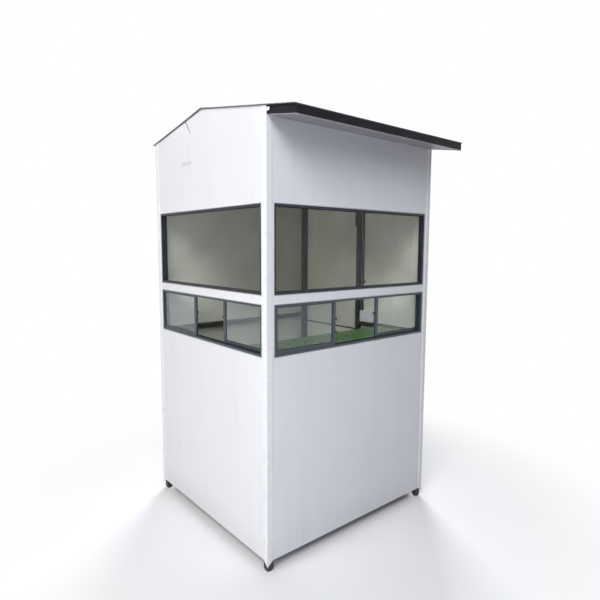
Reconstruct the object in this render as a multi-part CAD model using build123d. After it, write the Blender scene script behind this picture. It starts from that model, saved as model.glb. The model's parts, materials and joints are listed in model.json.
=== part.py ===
"""Security guard booth: a small gabled cabin of square tube and sheet, on four short feet.

+X runs along the ridge, from the windowed gable to the door gable.
+Y runs from the front wall, with the counter and the deep eave, to the plain back wall.
+Z is up. The origin is on the ground, at the middle of the booth's overall footprint.
Millimetres throughout.
"""
from build123d import *
import math
import os

# ---- driving dimensions -----------------------------------------------------------------
WIDTH = 1236                # along X, over the corner trims
DEPTH = 1172                # along Y, over the corner trims
FOOT_HEIGHT = 57            # ground to the bottom edge of the sheets
WALL_HEIGHT = 2180          # bottom edge of the sheets to the roof surface over the front wall
RIDGE_RISE = 100            # roof surface, front wall to ridge
EAVE_REACH = 205            # front eave, beyond the front wall
DRIP_REACH = 20             # back eave, beyond the back wall
VERGE_REACH = 6             # roof sheet, beyond each gable

TUBE = 38                   # square tube of the frame
TUBE_CORNER = 3             # its rounded long edges
RAIL_HEIGHT = 26            # lighter tube of the mid rails
BASE_DROP = 6               # base rails, below the bottom edge of the sheets
FOOT_DRAW = 8               # how much narrower than its tube a foot is at the ground
FOOT_CUP = 14               # height over which it narrows
SHEET = 4                   # wall and roof sheets
SOFFIT_SHEET = 3
UNDER_ROOF = 0.5            # play between a wall sheet and the roof sheet over it
TRIM = 2                    # thickness of the corner trims
TRIM_LEG = 32
TRIM_POINT = 25             # their cut points, below the sheets
EAR_REACH = 22              # tab at the head of a front trim, under the eave
EAR = (12, 28)              # its bottom and top, above the soffit line at the wall
CAP_WING = 90               # ridge cap, each side of the ridge
CAP = 1.5
JOINT = 1                   # open joint between neighbouring sheets
HAIRLINE = 0.4              # joint between the members of one frame

# levels above the bottom edge of the sheets
SILL = 1020                 # sill of the sliding windows
TRANSOM = 1276              # bottom of the strip between the two rows of windows
TRANSOM_HEIGHT = 42
UPPER_HEAD = 1750           # head of the fixed windows
MID_RAIL = 1002
DOOR_HEAD = 1930

# windows
FRAME_FACE = 14             # width of a window frame seen from outside
FRAME_DEPTH = 40
FRAME_SET = 1               # its outer face, behind the sheets
FIXED_GROOVE = 16           # glazing groove of a fixed frame, behind its outer face
FIXED_LIP = 6               # inner edge of a fixed frame
BEAD = 16                   # snap-in bead behind the glass
BEAD_SHORT = 4              # how much lower than the outer face the bead is
TRACK_WEB = 3               # web and fins of the twin-track section
STILE = 20                  # width of the upright sash members
SASH_HEAD = 11              # top rail of a sash, up in its track
SASH_FOOT = 26              # bottom rail of a sash, which runs on the rollers
SASH_PLAY = 2               # lift that lets a sash out of its track
SASH_DEPTH = 12
GLASS = 4
GLASS_BITE = 7              # how far the glass reaches into its frame
GLASS_PLAY = 1              # room past the edge of the glass
LATCH = (11, 8, 18)         # finger latch on a meeting stile: reach, depth, height
LATCH_CORNER = 2
LATCH_LEVELS = (1101, 1171)
FRONT_OPEN_BAY = (453, 788)     # between the front sashes, from the left end of the wall
LEFT_OPEN_BAY = (473, 742)      # between the gable sashes, from the back end of the wall

# door, in the +X gable, hinged at the back corner post
DOOR_POST_AT = 552          # near face of the door post, from the front of the booth
DOOR_POST_WIDTH = 20        # its width along the wall
DOOR_GAP = 6                # clearance round the leaf
DOOR_THICK = 20
DOOR_SKIN = 3
DOOR_STILE = 34
SILL_PLAY = 6               # leaf, above the floor board
STOP = (6, 12)              # flat bar behind the edge of the shut leaf: thickness, width
DOOR_BREAK = 965            # level of the dark joint across the inner skin
DOOR_BREAK_HEIGHT = 10
HANDLE_LEVEL = 858
HANDLE_LENGTH = 160
HANDLE_REACH = 40           # axis of the bar, off the face of the door
HANDLE_RADIUS = 7
HANDLE_SET = 62             # its axis, from the free edge of the leaf
HANDLE_END = 1.5            # chamfer at the ends of the bar
STANDOFF_INSET = 25         # the two standoffs, in from the ends of the bar
STANDOFF_RADIUS = 6
ROSE_RADIUS = 14
ROSE = 3                    # thickness of the round plates under the standoffs
HINGE_LEVELS = (300, 955, 1610)
HINGE_HEIGHT = 75
HINGE_LEAF = 24
HINGE_PLATE = 2.5
HINGE_SET = 8               # near edge of each plate, from the pin
KNUCKLE_RADIUS = 6
KNUCKLE_SET = 0.5           # barrel, off the face of the door
KNUCKLE_PLAY = 0.5
PIN_RADIUS = 3
PIN_CLEARANCE = 0.15
BOLT_LEVEL = 1815
BOLT_RADIUS = 7             # barrel of the slide bolt
BOLT_AXIS = 8               # its axis, off the inner plane of the posts
BOLT_LENGTH = 64
BOLT_BASE = (3, 72, 40)     # base plate, on a packing block: thickness, length, height
BOLT_EDGE = 16              # base plate, from the free edge of the leaf
BOLT_KNOB = (4, 22)         # knob: radius, reach off the inner plane of the posts
KEEPER = (14, 18)           # bar on the door post that takes the bolt: depth, width
KEEPER_SET = 1              # in from the far edge of the post
KEEPER_LEVELS = (1692, 1838)
KEEPER_BORE = 4.5

# inside
FLOOR = 12
COUNTER_REACH = 290         # depth of the counter board
COUNTER_THICK = 18
COUNTER_LEVEL = 1022        # top of the board
STUD_SPAN = 420             # between the two studs of the front wall
BRACKET_DROP = 230
BRACKET_SHORT = 40          # bracket, back from the free edge of the counter
BRACKET_NOSE = 25
BRACKET_TOE = 30
BRACKET_WEB = 5
BRACKET_PLATE = (36, 4)     # its flange and back plate: width, thickness
SWITCH_BOX = (24, 114, 78)  # depth, width, height
SWITCH_SET = 11             # off the door post
SWITCH_CORNER = 4
CONDUIT = 16                # pipe that brings the wiring down to the switch box
CONDUIT_SET = 12            # off the door post
SADDLE = (2, 40, 16)        # pipe saddle: thickness, length, height
SADDLE_LEVELS = (1300, 1780)

# ---- worked-out planes ------------------------------------------------------------------
# How far the outer handle stands past the corner trims.
HANDLE_OUT = HANDLE_REACH + HANDLE_RADIUS
X_LEFT = -WIDTH / 2 + (VERGE_REACH - HANDLE_OUT) / 2    # centres the overall footprint
X_RIGHT = X_LEFT + WIDTH
Y_FRONT = -(EAVE_REACH + DEPTH + DRIP_REACH) / 2 + EAVE_REACH
Y_BACK = Y_FRONT + DEPTH
Y_RIDGE = (Y_FRONT + Y_BACK) / 2

SKIN_OUT = TRIM                     # outer face of the sheets, in from the overall size
SKIN_IN = TRIM + SHEET              # inner face of the sheets, outer face of the tubes
INNER = SKIN_IN + TUBE              # inner face of the tubes

SLOPE = RIDGE_RISE / (DEPTH / 2)
STEEP = math.sqrt(1 + SLOPE**2)     # vertical thickness of a sloping sheet, over its own
EAVE = FOOT_HEIGHT + WALL_HEIGHT


def level(height):
    """Height above the ground of a level given above the bottom edge of the sheets."""
    return FOOT_HEIGHT + height


def roof_at(y, below=0):
    """Height of the roof surface at y, or of a plane that lies below it."""
    return EAVE + SLOPE * (DEPTH / 2 - abs(y - Y_RIDGE)) - below * STEEP


# ---- shape helpers ----------------------------------------------------------------------
def block(x, y, z):
    """A plain box between three (low, high) pairs."""
    size = [high - low for low, high in (x, y, z)]
    corner = (x[0], y[0], z[0])
    return Pos(*corner) * Box(*size, align=(Align.MIN, Align.MIN, Align.MIN))


def tube(x, y, z):
    """A length of tube: a box whose four longest edges are rounded."""
    body = block(x, y, z)
    sizes = {Axis.X: x[1] - x[0], Axis.Y: y[1] - y[0], Axis.Z: z[1] - z[0]}
    longest = max(sizes, key=sizes.get)
    return fillet(body.edges().filter_by(longest), TUBE_CORNER)


def prism_x(outline, x):
    """An outline of (y, z) points, extruded along X between two values."""
    face = make_face(Plane.YZ * Polyline(*outline, close=True))
    return Pos(x[0], 0, 0) * extrude(face, x[1] - x[0], dir=(1, 0, 0))


def prism_y(outline, y):
    """An outline of (x, z) points, extruded along Y between two values."""
    points = [(px, 0, pz) for px, pz in outline]
    face = make_face(Polyline(*points, close=True))
    return Pos(0, y[0], 0) * extrude(face, y[1] - y[0], dir=(0, 1, 0))


def sloped(y, x, top, thick):
    """A member between y values that follows the roof, with plumb ends."""
    low, high = y
    outline = [
        (low, roof_at(low, top + thick)),
        (high, roof_at(high, top + thick)),
        (high, roof_at(high, top)),
        (low, roof_at(low, top)),
    ]
    return prism_x(outline, x)


PIECES = {}


def piece(name, *solids):
    """Keeps the solids of one named node for writing."""
    PIECES[name] = list(solids)


# ---- frame ------------------------------------------------------------------------------
def frame_bands():
    """The X and Y bands that the wall tubes fill, at both ends of each axis."""
    left = (X_LEFT + SKIN_IN, X_LEFT + INNER)
    right = (X_RIGHT - INNER, X_RIGHT - SKIN_IN)
    front = (Y_FRONT + SKIN_IN, Y_FRONT + INNER)
    back = (Y_BACK - INNER, Y_BACK - SKIN_IN)
    return left, right, front, back


LEFT, RIGHT, FRONT, BACK = frame_bands()
FLOOR_UNDER = level(-BASE_DROP) + TUBE
FLOOR_TOP = FLOOR_UNDER + FLOOR
ACROSS = (LEFT[1], RIGHT[0])        # clear width between the corner posts
ALONG = (FRONT[1], BACK[0])         # clear depth between the corner posts
POST_TOP = roof_at(Y_FRONT + SKIN_IN, SHEET + TUBE)
DOOR_POST = (Y_FRONT + DOOR_POST_AT, Y_FRONT + DOOR_POST_AT + DOOR_POST_WIDTH)


def make_frame():
    upright = (level(0), POST_TOP)
    corners = [(x, y) for x in (LEFT, RIGHT) for y in (FRONT, BACK)]
    piece("corner_posts", *[tube(x, y, upright) for x, y in corners])

    base = (level(-BASE_DROP), FLOOR_UNDER)
    piece("base_side_rails", tube(LEFT, ALONG, base), tube(RIGHT, ALONG, base))
    third = (ALONG[1] - ALONG[0]) / 3
    joists = [(ALONG[0] + n * third - TUBE / 2, ALONG[0] + n * third + TUBE / 2) for n in (1, 2)]
    cross = [tube(ACROSS, y, base) for y in (FRONT, BACK, *joists)]
    piece("base_cross_rails", *cross)

    piece("door_post", tube(RIGHT, DOOR_POST, (base[1], level(DOOR_HEAD))))
    sill = (level(SILL - TUBE), level(SILL))
    transom = (level(TRANSOM), level(TRANSOM + TRANSOM_HEIGHT))
    head = (level(UPPER_HEAD), level(UPPER_HEAD) + TUBE)
    rails = [tube(ACROSS, FRONT, z) for z in (sill, transom, head)]
    rails += [tube(LEFT, ALONG, z) for z in (sill, transom, head)]
    piece("window_rails", *rails)

    mid = (level(MID_RAIL), level(MID_RAIL) + RAIL_HEIGHT)
    over_door = (level(DOOR_HEAD), level(DOOR_HEAD) + TUBE)
    piece(
        "wall_rails",
        tube(ACROSS, BACK, mid),
        tube(RIGHT, (ALONG[0], DOOR_POST[0]), mid),
        tube(RIGHT, ALONG, over_door),
    )
    middle = (ACROSS[0] + ACROSS[1]) / 2
    studs = [middle - STUD_SPAN / 2, middle + STUD_SPAN / 2]
    low = (base[1], sill[0])
    uprights = [tube((x - TUBE / 2, x + TUBE / 2), FRONT, low) for x in studs]
    uprights.append(tube(LEFT, (Y_RIDGE - TUBE / 2, Y_RIDGE + TUBE / 2), low))
    piece("lower_studs", *uprights)

    eave = (POST_TOP - TUBE, POST_TOP)
    piece("eave_rails", tube(ACROSS, FRONT, eave), tube(ACROSS, BACK, eave))
    return studs


def make_roof_frame():
    middle = (X_LEFT + X_RIGHT) / 2
    bays = [LEFT, (middle - TUBE / 2, middle + TUBE / 2), RIGHT]
    ridge = (Y_RIDGE - TUBE / 2, Y_RIDGE + TUBE / 2)
    eave = (Y_FRONT - EAVE_REACH, Y_FRONT - EAVE_REACH + TUBE)
    length = (LEFT[0], RIGHT[1])
    piece("front_rafters", *[sloped((eave[1], ridge[0]), x, SHEET, TUBE) for x in bays])
    piece("back_rafters", *[sloped((ridge[1], BACK[1]), x, SHEET, TUBE) for x in bays])
    top = roof_at(ridge[0], SHEET)
    piece("ridge_beam", tube(length, ridge, (top - TUBE, top)))
    piece("eave_beam", sloped(eave, length, SHEET, TUBE))


def make_feet():
    """Stub legs under the corner posts, drawn in towards a rounded foot."""
    feet = []
    for x in (LEFT, RIGHT):
        for y in (FRONT, BACK):
            centre = ((x[0] + x[1]) / 2, (y[0] + y[1]) / 2)
            narrow = TUBE - FOOT_DRAW
            bottom = RectangleRounded(narrow, narrow, FOOT_DRAW)
            ankle = Pos(0, 0, FOOT_CUP) * RectangleRounded(TUBE, TUBE, 2 * TUBE_CORNER)
            cup = loft([bottom, ankle])
            stub = extrude(ankle, FOOT_HEIGHT - FOOT_CUP)
            feet.append(Pos(*centre, 0) * (cup + stub))
    piece("feet", *feet)


# ---- skin -------------------------------------------------------------------------------
def gable_outline(bottom):
    """Outline of a gable sheet from a level up to the underside of the roof."""
    low, high = Y_FRONT + SKIN_OUT, Y_BACK - SKIN_OUT
    under = SHEET + UNDER_ROOF
    return [
        (low, bottom),
        (high, bottom),
        (high, roof_at(high, under)),
        (Y_RIDGE, roof_at(Y_RIDGE, under)),
        (low, roof_at(low, under)),
    ]


def make_skin():
    front = (Y_FRONT + SKIN_OUT, Y_FRONT + SKIN_IN)
    back = (Y_BACK - SKIN_IN, Y_BACK - SKIN_OUT)
    left = (X_LEFT + SKIN_OUT, X_LEFT + SKIN_IN)
    right = (X_RIGHT - SKIN_IN, X_RIGHT - SKIN_OUT)
    full_x = (left[1], right[0])
    full_y = (Y_FRONT + SKIN_OUT, Y_BACK - SKIN_OUT)
    soffit = roof_at(Y_FRONT, SHEET + TUBE)

    below_windows = (level(0), level(SILL))
    beside_windows = (level(SILL) + JOINT, level(UPPER_HEAD) - JOINT)
    transom = (level(TRANSOM), level(TRANSOM + TRANSOM_HEIGHT))

    piece("front_lower_panel", block(full_x, front, below_windows))
    piece(
        "front_window_surround",
        block((full_x[0], ACROSS[0]), front, beside_windows),
        block((ACROSS[1], full_x[1]), front, beside_windows),
        block((ACROSS[0] + JOINT, ACROSS[1] - JOINT), front, transom),
    )
    piece("front_upper_panel", block(full_x, front, (level(UPPER_HEAD), soffit)))

    piece("left_lower_panel", block(left, full_y, below_windows))
    piece(
        "left_window_surround",
        block(left, (full_y[0], ALONG[0]), beside_windows),
        block(left, (ALONG[1], full_y[1]), beside_windows),
        block(left, (ALONG[0] + JOINT, ALONG[1] - JOINT), transom),
    )
    piece("left_gable_panel", prism_x(gable_outline(level(UPPER_HEAD)), left))

    under_drip = roof_at(Y_BACK, SHEET + UNDER_ROOF)
    piece("back_panel", block(full_x, back, (level(0), under_drip)))

    door_head = level(DOOR_HEAD) - JOINT
    piece(
        "right_side_panels",
        block(right, (full_y[0], DOOR_POST[1]), (level(0), door_head)),
        block(right, (ALONG[1], full_y[1]), (level(0), door_head)),
        block(right, (DOOR_POST[1] + JOINT, ALONG[1] - JOINT), (level(0), FLOOR_TOP)),
    )
    piece("right_gable_panel", prism_x(gable_outline(level(DOOR_HEAD)), right))


def make_trims():
    """Folded angles over the four corners, each cut to a point below the sheets."""
    soffit = roof_at(Y_FRONT, SHEET + TUBE)
    under = SHEET + UNDER_ROOF
    tip = level(0) - TRIM_POINT
    for side, x_edge, inward in (("left", X_LEFT, 1), ("right", X_RIGHT, -1)):
        for end, y_edge, forward in (("front", Y_FRONT, 1), ("back", Y_BACK, -1)):
            gable_top = [roof_at(y_edge, under), roof_at(y_edge + forward * TRIM_LEG, under)]
            gable_leg = [
                (y_edge, tip),
                (y_edge + forward * TRIM_LEG, level(0)),
                (y_edge + forward * TRIM_LEG, gable_top[1]),
                (y_edge, gable_top[0]),
            ]
            x_low = min(x_edge, x_edge + inward * TRIM)
            leg = prism_x(gable_leg, (x_low, x_low + TRIM))
            wall_top = soffit if end == "front" else gable_top[0]
            wall_leg = [
                (x_edge, tip),
                (x_edge + inward * TRIM_LEG, level(0)),
                (x_edge + inward * TRIM_LEG, wall_top),
                (x_edge, wall_top),
            ]
            y_low = min(y_edge, y_edge + forward * TRIM)
            trim = leg + prism_y(wall_leg, (y_low, y_low + TRIM))
            if end == "front":
                ear = (Y_FRONT - EAR_REACH, Y_FRONT + TRIM)
                trim += block((x_low, x_low + TRIM), ear, (soffit + EAR[0], soffit + EAR[1]))
            piece(f"corner_trim_{end}_{side}", trim)


def make_roof():
    x = (X_LEFT - VERGE_REACH, X_RIGHT + VERGE_REACH)
    front = (Y_FRONT - EAVE_REACH, Y_RIDGE)
    back = (Y_RIDGE, Y_BACK + DRIP_REACH)
    piece("roof_sheet_front", sloped(front, x, 0, SHEET))
    piece("roof_sheet_back", sloped(back, x, 0, SHEET))
    low, high = Y_RIDGE - CAP_WING, Y_RIDGE + CAP_WING
    cap = [
        (low, roof_at(low)),
        (Y_RIDGE, roof_at(Y_RIDGE)),
        (high, roof_at(high)),
        (high, roof_at(high, -CAP)),
        (Y_RIDGE, roof_at(Y_RIDGE, -CAP)),
        (low, roof_at(low, -CAP)),
    ]
    piece("ridge_cap", prism_x(cap, x))
    under_tails = (Y_FRONT - EAVE_REACH, Y_FRONT)
    piece("soffit_panel", sloped(under_tails, (LEFT[0], RIGHT[1]), SHEET + TUBE, SOFFIT_SHEET))


# ---- windows ----------------------------------------------------------------------------
# A window is drawn flat: u runs to the right as seen from outside, w runs inward from the
# outermost plane of the wall, and z is up. Then it is set on the front or the left wall.
def on_front(shape):
    return Pos(X_LEFT, Y_FRONT, 0) * shape


def on_left(shape):
    return Pos(X_LEFT, Y_BACK, 0) * Rot(0, 0, -90) * shape


FRAME_OUT = SKIN_OUT + FRAME_SET
FRAME_IN = FRAME_OUT + FRAME_DEPTH
TRACK_PITCH = (FRAME_DEPTH - TRACK_WEB) / 2     # from one track to the next


def fixed_profile():
    """Section of a fixed frame: outer face, glazing groove, inner bead."""
    groove = FRAME_OUT + FIXED_GROOVE
    floor = FRAME_FACE - GLASS_BITE - GLASS_PLAY
    return [
        (FRAME_OUT, 0),
        (FRAME_IN, 0),
        (FRAME_IN, FIXED_LIP),
        (groove + BEAD, FIXED_LIP),
        (groove + BEAD, FRAME_FACE - BEAD_SHORT),
        (groove + GLASS, FRAME_FACE - BEAD_SHORT),
        (groove + GLASS, floor),
        (groove, floor),
        (groove, FRAME_FACE),
        (FRAME_OUT, FRAME_FACE),
    ]


def track_profile():
    """Section of a sliding window's frame: a web with three fins, so two tracks."""
    fins = [FRAME_OUT + n * TRACK_PITCH for n in range(3)]
    points = [(FRAME_OUT, 0), (FRAME_IN, 0), (FRAME_IN, FRAME_FACE)]
    points += [(fins[2], FRAME_FACE), (fins[2], TRACK_WEB)]
    points += [(fins[1] + TRACK_WEB, TRACK_WEB), (fins[1] + TRACK_WEB, FRAME_FACE)]
    points += [(fins[1], FRAME_FACE), (fins[1], TRACK_WEB)]
    points += [(fins[0] + TRACK_WEB, TRACK_WEB), (fins[0] + TRACK_WEB, FRAME_FACE)]
    points += [(FRAME_OUT, FRAME_FACE)]
    return points


def sash_profile(front, width):
    """Section of a sash member that starts at depth front, with a groove for the glass."""
    groove = front + (SASH_DEPTH - GLASS) / 2
    floor = width - GLASS_BITE - GLASS_PLAY
    return [
        (front, 0),
        (front + SASH_DEPTH, 0),
        (front + SASH_DEPTH, width),
        (groove + GLASS, width),
        (groove + GLASS, floor),
        (groove, floor),
        (groove, width),
        (front, width),
    ]


def four_sided(sections, face, u, z):
    """Two uprights, a sill and a head, butted with hairline joints.

    sections holds the uprights' section, the sill's and the head's, and face is the width
    of an upright.
    """
    side, sill, head = sections

    def upright(edge, inward):
        points = [(edge + inward * across, depth, z[0]) for depth, across in side]
        return extrude(make_face(Polyline(*points, close=True)), z[1] - z[0], dir=(0, 0, 1))

    def cross(profile, edge, inward):
        start = u[0] + face + HAIRLINE
        length = u[1] - u[0] - 2 * (face + HAIRLINE)
        points = [(start, depth, edge + inward * across) for depth, across in profile]
        return extrude(make_face(Polyline(*points, close=True)), length, dir=(1, 0, 0))

    return [upright(u[0], 1), upright(u[1], -1), cross(sill, z[0], 1), cross(head, z[1], -1)]


def pane(u, z, front, faces):
    """Glass that reaches into the grooves of the sides, sill and head around it."""
    side, sill, head = [face - GLASS_BITE for face in faces]
    return block((u[0] + side, u[1] - side), (front, front + GLASS), (z[0] + sill, z[1] - head))


def sash(u, z, track):
    """The members of one sliding sash and its glass."""
    faces = (STILE, SASH_FOOT, SASH_HEAD)
    bars = four_sided([sash_profile(track, face) for face in faces], STILE, u, z)
    return bars, pane(u, z, track + (SASH_DEPTH - GLASS) / 2, faces)


def finger_latches(edge, outward, track):
    """Small latches on the edge of a meeting stile, which reach into the open bay."""
    reach, depth, height = LATCH
    middle = track + SASH_DEPTH / 2
    span = sorted((edge, edge + outward * reach))
    latches = []
    for z in LATCH_LEVELS:
        deep = (middle - depth / 2, middle + depth / 2)
        body = block(span, deep, (level(z) - height / 2, level(z) + height / 2))
        latches.append(chamfer(body.edges().filter_by(Axis.Y), LATCH_CORNER))
    return latches


def make_windows():
    lower = (level(SILL), level(TRANSOM))
    upper = (level(TRANSOM + TRANSOM_HEIGHT), level(UPPER_HEAD))
    slack = (TRACK_PITCH - TRACK_WEB - SASH_DEPTH) / 2
    outer_track = FRAME_OUT + TRACK_WEB + slack
    inner_track = outer_track + TRACK_PITCH
    sash_z = (lower[0] + TRACK_WEB, lower[1] - TRACK_WEB - SASH_PLAY)
    upper_panes = []
    sash_panes = []
    latches = []
    walls = (
        ("front", on_front, WIDTH, FRONT_OPEN_BAY),
        ("left", on_left, DEPTH, LEFT_OPEN_BAY),
    )
    for name, place, length, bay in walls:
        u = (INNER, length - INNER)
        fixed = four_sided([fixed_profile()] * 3, FRAME_FACE, u, upper)
        piece(f"{name}_upper_frame", *[place(bar) for bar in fixed])
        upper_panes.append(place(pane(u, upper, FRAME_OUT + FIXED_GROOVE, [FRAME_FACE] * 3)))
        tracks = four_sided([track_profile()] * 3, FRAME_FACE, u, lower)
        piece(f"{name}_lower_frame", *[place(bar) for bar in tracks])

        outer_sash, outer_pane = sash((u[0] + TRACK_WEB + JOINT, bay[0]), sash_z, outer_track)
        inner_sash, inner_pane = sash((bay[1], u[1] - TRACK_WEB - JOINT), sash_z, inner_track)
        piece(f"{name}_sashes", *[place(bar) for bar in outer_sash + inner_sash])
        sash_panes += [place(outer_pane), place(inner_pane)]
        pulls = finger_latches(bay[0], 1, outer_track) + finger_latches(bay[1], -1, inner_track)
        latches += [place(latch) for latch in pulls]
    piece("upper_glass", *upper_panes)
    piece("sash_glass", *sash_panes)
    piece("sash_latches", *latches)


# ---- inside -----------------------------------------------------------------------------
def make_floor(studs):
    """One board over the base rails, notched round every upright."""
    z = (FLOOR_UNDER, FLOOR_TOP)
    floor = block((LEFT[0], RIGHT[1]), (FRONT[0], BACK[1]), z)
    notches = [(x, y) for x in (LEFT, RIGHT) for y in (FRONT, BACK)]
    notches += [((x - TUBE / 2, x + TUBE / 2), FRONT) for x in studs]
    notches += [(RIGHT, DOOR_POST), (LEFT, (Y_RIDGE - TUBE / 2, Y_RIDGE + TUBE / 2))]
    for x, y in notches:
        floor -= block(x, y, z)
    piece("floor_panel", floor)


def make_counter(studs):
    """The board behind the front windows, and a tapered bracket against each stud."""
    top = level(COUNTER_LEVEL)
    under = top - COUNTER_THICK
    near = FRONT[1]
    piece("counter_top", block(ACROSS, (near, near + COUNTER_REACH), (under, top)))

    tip = near + COUNTER_REACH - BRACKET_SHORT
    foot = under - BRACKET_DROP
    wide, thick = BRACKET_PLATE
    outline = [
        (near, under),
        (tip, under),
        (tip, under - BRACKET_NOSE),
        (near + BRACKET_TOE, foot),
        (near, foot),
    ]
    brackets = []
    for x in studs:
        web = prism_x(outline, (x - BRACKET_WEB / 2, x + BRACKET_WEB / 2))
        across = (x - wide / 2, x + wide / 2)
        flange = block(across, (near, tip), (under - thick, under))
        back_plate = block(across, (near, near + thick), (foot, under))
        brackets.append(web + flange + back_plate)
    piece("counter_brackets", *brackets)


def make_wiring():
    """The switch box on the mid rail, and the pipe and saddles that lead up from it."""
    deep, wide, high = SWITCH_BOX
    wall = X_RIGHT - SKIN_IN
    bottom = level(MID_RAIL) + RAIL_HEIGHT
    end = DOOR_POST[0] - SWITCH_SET
    box = block((wall - deep, wall), (end - wide, end), (bottom, bottom + high))
    piece("switch_box", fillet(box.edges().filter_by(Axis.X), SWITCH_CORNER))

    x = wall - CONDUIT / 2
    y = DOOR_POST[0] - CONDUIT_SET - CONDUIT / 2
    length = level(DOOR_HEAD) - (bottom + high)
    pipe = Pos(x, y, bottom + high + length / 2) * Cylinder(CONDUIT / 2, length)
    thick, long, tall = SADDLE
    for height in SADDLE_LEVELS:
        z = (level(height), level(height) + tall)
        round_part = Pos(x, y, sum(z) / 2) * Cylinder(CONDUIT / 2 + thick, tall)
        wrap = round_part & block((x - CONDUIT, wall), (y - CONDUIT, DOOR_POST[0]), z)
        ear = block((wall - thick, wall), (DOOR_POST[0] - long, DOOR_POST[0]), z)
        pipe += wrap + ear
    piece("conduit", pipe)


# ---- door -------------------------------------------------------------------------------
LEAF_X = (X_RIGHT - DOOR_THICK, X_RIGHT)
LEAF_Y = (DOOR_POST[1] + DOOR_GAP, BACK[0] - DOOR_GAP)
LEAF_Z = (FLOOR_TOP + SILL_PLAY, level(DOOR_HEAD) - DOOR_GAP)
HINGE_AXIS = (X_RIGHT + KNUCKLE_RADIUS + KNUCKLE_SET, BACK[0] - DOOR_GAP / 2)


def make_door_leaf():
    core_x = (LEAF_X[0] + DOOR_SKIN, LEAF_X[1] - DOOR_SKIN)
    stiles = [
        (LEAF_Y[0], LEAF_Y[0] + DOOR_STILE),
        (LEAF_Y[1] - DOOR_STILE, LEAF_Y[1]),
    ]
    between = (stiles[0][1] + HAIRLINE, stiles[1][0] - HAIRLINE)
    breaks = level(DOOR_BREAK)
    rails = [
        (LEAF_Z[0], LEAF_Z[0] + DOOR_STILE),
        (breaks - DOOR_STILE / 2, breaks + DOOR_STILE / 2),
        (LEAF_Z[1] - DOOR_STILE, LEAF_Z[1]),
    ]
    bars = [block(core_x, y, LEAF_Z) for y in stiles]
    bars += [block(core_x, between, z) for z in rails]
    piece("door_core", *bars)

    inner = (LEAF_X[0], core_x[0])
    outer = (core_x[1], LEAF_X[1])
    half = DOOR_BREAK_HEIGHT / 2
    piece(
        "door_skins",
        block(inner, LEAF_Y, (LEAF_Z[0], breaks - half)),
        block(inner, LEAF_Y, (breaks + half, LEAF_Z[1])),
        block(outer, LEAF_Y, LEAF_Z),
    )


def make_door_stops():
    """Flat bars on the posts and the rail over the door, behind the edge of the shut leaf."""
    thick, wide = STOP
    x = (LEAF_X[0] - DOOR_GAP - thick, LEAF_X[0] - DOOR_GAP)
    head = (level(DOOR_HEAD) - wide, level(DOOR_HEAD))
    upright = (FLOOR_TOP, head[0] - HAIRLINE)
    near = (DOOR_POST[1], DOOR_POST[1] + wide)
    far = (BACK[0] - wide, BACK[0])
    piece(
        "door_stops",
        block(x, near, upright),
        block(x, far, upright),
        block(x, (near[0], far[1]), head),
    )


def pull_handle(face, outward, y):
    """A straight round bar on two standoffs, each with a round rose against the door."""
    def lying(radius, start, end, z):
        middle = face + outward * (start + end) / 2
        return Pos(middle, y, z) * Rot(0, 90, 0) * Cylinder(radius, end - start)

    bar = Cylinder(HANDLE_RADIUS, HANDLE_LENGTH)
    bar = chamfer(bar.edges(), HANDLE_END)
    middle = level(HANDLE_LEVEL)
    solids = [Pos(face + outward * HANDLE_REACH, y, middle) * bar]
    to_bar = HANDLE_REACH - HANDLE_RADIUS - HAIRLINE
    offset = HANDLE_LENGTH / 2 - STANDOFF_INSET
    for z in (middle - offset, middle + offset):
        solids.append(lying(ROSE_RADIUS, 0, ROSE, z))
        solids.append(lying(STANDOFF_RADIUS, ROSE + HAIRLINE, to_bar, z))
    return solids


def make_door_fittings():
    handle_y = LEAF_Y[0] + HANDLE_SET
    piece(
        "door_handles",
        *pull_handle(LEAF_X[1], 1, handle_y),
        *pull_handle(LEAF_X[0], -1, handle_y),
    )

    z = level(BOLT_LEVEL)
    face = RIGHT[0]
    axis = face - BOLT_AXIS
    thick, long, tall = BOLT_BASE
    start = LEAF_Y[0] + BOLT_EDGE
    middle = start + long / 2
    plate_z = (z - tall / 2, z + tall / 2)
    plate = block((face - thick, LEAF_X[0]), (start, start + long), plate_z)
    barrel = Pos(axis, middle, z) * Rot(90, 0, 0) * Cylinder(BOLT_RADIUS, BOLT_LENGTH)
    bed_y = (middle - BOLT_LENGTH / 2, middle + BOLT_LENGTH / 2)
    bed = block((axis, face), bed_y, (z - BOLT_RADIUS, z + BOLT_RADIUS))
    knob_radius, knob_reach = BOLT_KNOB
    knob = Pos(face - (BOLT_AXIS + knob_reach) / 2, middle + BOLT_RADIUS, z) * Rot(0, 90, 0)
    knob *= Cylinder(knob_radius, knob_reach - BOLT_AXIS)
    piece("door_bolt", plate + bed + barrel + knob)

    deep, wide = KEEPER
    end = DOOR_POST[1] - KEEPER_SET
    low, high = KEEPER_LEVELS
    keeper = block((face - deep, face), (end - wide, end), (level(low), level(high)))
    bore = Pos(axis, end, z) * Rot(90, 0, 0) * Cylinder(KEEPER_BORE, wide)
    piece("bolt_keeper", keeper - bore)


def hinge_half(z_spans, plate_y, tab_y):
    """One half of a butt hinge: its screwed plate, and knuckles joined to it by short tabs."""
    plate_x = (X_RIGHT, X_RIGHT + HINGE_PLATE)
    height = (min(low for low, high in z_spans), max(high for low, high in z_spans))
    centre = sum(height) / 2
    full = (centre - HINGE_HEIGHT / 2, centre + HINGE_HEIGHT / 2)
    half = block(plate_x, plate_y, full)
    for low, high in z_spans:
        half += block(plate_x, tab_y, (low, high))
        half += Pos(*HINGE_AXIS, (low + high) / 2) * Cylinder(KNUCKLE_RADIUS, high - low)
    return half


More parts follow.
